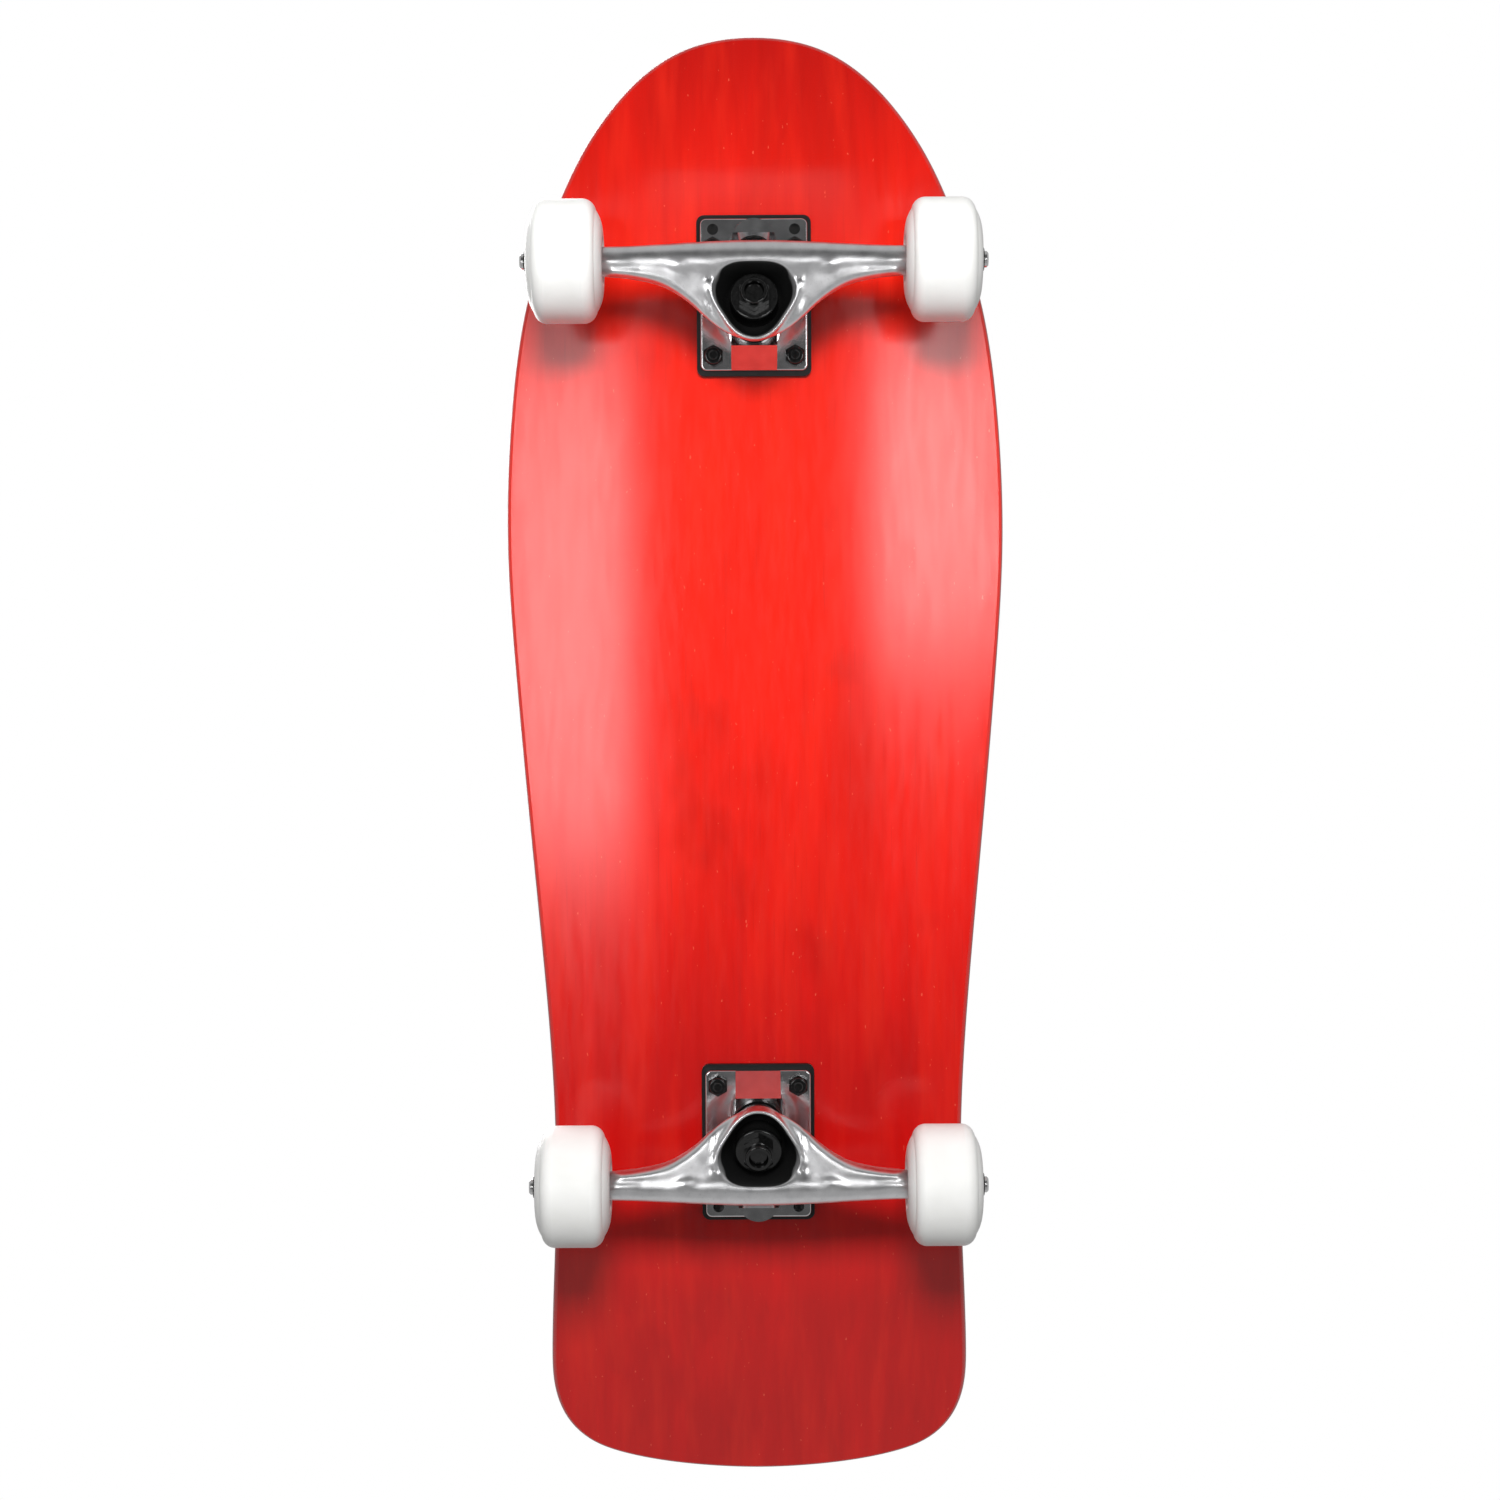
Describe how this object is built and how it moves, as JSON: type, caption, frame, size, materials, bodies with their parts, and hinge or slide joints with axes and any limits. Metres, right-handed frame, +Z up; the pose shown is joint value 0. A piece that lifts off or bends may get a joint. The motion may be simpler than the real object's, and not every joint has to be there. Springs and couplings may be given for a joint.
{
  "type": "skateboard",
  "caption": "Old-school cruiser skateboard: red stained maple deck with kicked tail, two sprung steering trucks and white urethane wheels on ball bearings.",
  "frame": {"origin": "on the floor under the middle of the board's box, half way between the tips of nose and tail", "axes": "+X towards the nose, +Y to the rider's left looking towards the nose, +Z up"},
  "size_m": [0.7529, 0.255, 0.1352],
  "materials": {
    "red_stained_maple": "red stain under satin lacquer",
    "stained_edge_maple": "red stained veneer edges",
    "grip": "black abrasive sheet",
    "white_urethane": "smooth white urethane",
    "black_urethane": "satin black urethane",
    "black_plastic": "moulded black plastic",
    "polished_aluminium": "polished casting",
    "bright_steel": "bright ground steel",
    "black_steel": "gloss black plated steel",
    "shield_plastic": "black sealed cover"
  },
  "bodies": {
    "deck_assembly": {"deck_ply_1": "red_stained_maple", "deck_ply_2": "stained_edge_maple", "deck_ply_3": "stained_edge_maple", "deck_ply_4": "stained_edge_maple", "deck_ply_5": "stained_edge_maple", "deck_ply_6": "stained_edge_maple", "deck_ply_7": "stained_edge_maple", "grip_tape": "grip", "mounting_bolts": "black_steel", "mounting_nuts": "black_steel", "front_riser": "black_plastic", "front_baseplate": "polished_aluminium", "front_pivot_cup": "black_plastic", "front_kingpin": "black_steel", "front_kingpin_nut": "black_steel", "front_lower_washer": "black_steel", "front_lower_bushing": "black_urethane", "front_upper_bushing": "black_urethane", "front_upper_washer": "black_steel", "rear_riser": "black_plastic", "rear_baseplate": "polished_aluminium", "rear_pivot_cup": "black_plastic", "rear_kingpin": "black_steel", "rear_kingpin_nut": "black_steel", "rear_lower_washer": "black_steel", "rear_lower_bushing": "black_urethane", "rear_upper_bushing": "black_urethane", "rear_upper_washer": "black_steel"},
    "front_hanger_assembly": {"front_hanger": "polished_aluminium", "front_axle": "bright_steel", "front_axle_nuts": "black_steel", "front_speed_washers": "bright_steel", "front_bearing_inner_rings": "bright_steel", "front_bearing_spacers": "bright_steel"},
    "front_left_wheel_assembly": {"front_left_wheel": "white_urethane", "front_left_bearing_outer_rings": "bright_steel", "front_left_bearing_shields": "shield_plastic"},
    "front_left_ball_set": {"front_left_bearing_balls": "bright_steel", "front_left_bearing_retainers": "bright_steel"},
    "front_right_wheel_assembly": {"front_right_wheel": "white_urethane", "front_right_bearing_outer_rings": "bright_steel", "front_right_bearing_shields": "shield_plastic"},
    "front_right_ball_set": {"front_right_bearing_balls": "bright_steel", "front_right_bearing_retainers": "bright_steel"},
    "rear_hanger_assembly": {"rear_hanger": "polished_aluminium", "rear_axle": "bright_steel", "rear_axle_nuts": "black_steel", "rear_speed_washers": "bright_steel", "rear_bearing_inner_rings": "bright_steel", "rear_bearing_spacers": "bright_steel"},
    "rear_left_wheel_assembly": {"rear_left_wheel": "white_urethane", "rear_left_bearing_outer_rings": "bright_steel", "rear_left_bearing_shields": "shield_plastic"},
    "rear_left_ball_set": {"rear_left_bearing_balls": "bright_steel", "rear_left_bearing_retainers": "bright_steel"},
    "rear_right_wheel_assembly": {"rear_right_wheel": "white_urethane", "rear_right_bearing_outer_rings": "bright_steel", "rear_right_bearing_shields": "shield_plastic"},
    "rear_right_ball_set": {"rear_right_bearing_balls": "bright_steel", "rear_right_bearing_retainers": "bright_steel"}
  },
  "joints": [
    {"name": "front_steering", "type": "hinge", "parent": "deck_assembly", "child": "front_hanger_assembly", "pos_m": [0.26707, 0, 0.064], "axis": [-0.8396, 0, -0.5433], "range_deg": [-12, 12], "stiffness_Nm_per_rad": 60, "deforming": ["front_lower_bushing", "front_upper_bushing"]},
    {"name": "front_left_wheel_spin", "type": "hinge", "parent": "front_hanger_assembly", "child": "front_left_wheel_assembly", "pos_m": [0.25407, 0.092, 0.03], "axis": [0, 1, 0], "continuous": true},
    {"name": "front_left_ball_orbit", "type": "hinge", "parent": "front_hanger_assembly", "child": "front_left_ball_set", "pos_m": [0.25407, 0.092, 0.03], "axis": [0, 1, 0], "continuous": true},
    {"name": "front_right_wheel_spin", "type": "hinge", "parent": "front_hanger_assembly", "child": "front_right_wheel_assembly", "pos_m": [0.25407, -0.092, 0.03], "axis": [0, 1, 0], "continuous": true},
    {"name": "front_right_ball_orbit", "type": "hinge", "parent": "front_hanger_assembly", "child": "front_right_ball_set", "pos_m": [0.25407, -0.092, 0.03], "axis": [0, 1, 0], "continuous": true},
    {"name": "rear_steering", "type": "hinge", "parent": "deck_assembly", "child": "rear_hanger_assembly", "pos_m": [-0.21443, 0, 0.064], "axis": [0.8396, 0, -0.5433], "range_deg": [-12, 12], "stiffness_Nm_per_rad": 60, "deforming": ["rear_lower_bushing", "rear_upper_bushing"]},
    {"name": "rear_left_wheel_spin", "type": "hinge", "parent": "rear_hanger_assembly", "child": "rear_left_wheel_assembly", "pos_m": [-0.20143, 0.092, 0.03], "axis": [0, 1, 0], "continuous": true},
    {"name": "rear_left_ball_orbit", "type": "hinge", "parent": "rear_hanger_assembly", "child": "rear_left_ball_set", "pos_m": [-0.20143, 0.092, 0.03], "axis": [0, 1, 0], "continuous": true},
    {"name": "rear_right_wheel_spin", "type": "hinge", "parent": "rear_hanger_assembly", "child": "rear_right_wheel_assembly", "pos_m": [-0.20143, -0.092, 0.03], "axis": [0, 1, 0], "continuous": true},
    {"name": "rear_right_ball_orbit", "type": "hinge", "parent": "rear_hanger_assembly", "child": "rear_right_ball_set", "pos_m": [-0.20143, -0.092, 0.03], "axis": [0, 1, 0], "continuous": true}
  ],
  "couplings": [
    {"joint": "front_left_ball_orbit", "follows": "front_left_wheel_spin", "ratio": 0.6323},
    {"joint": "front_right_ball_orbit", "follows": "front_right_wheel_spin", "ratio": 0.6323},
    {"joint": "rear_left_ball_orbit", "follows": "rear_left_wheel_spin", "ratio": 0.6323},
    {"joint": "rear_right_ball_orbit", "follows": "rear_right_wheel_spin", "ratio": 0.6323}
  ]
}
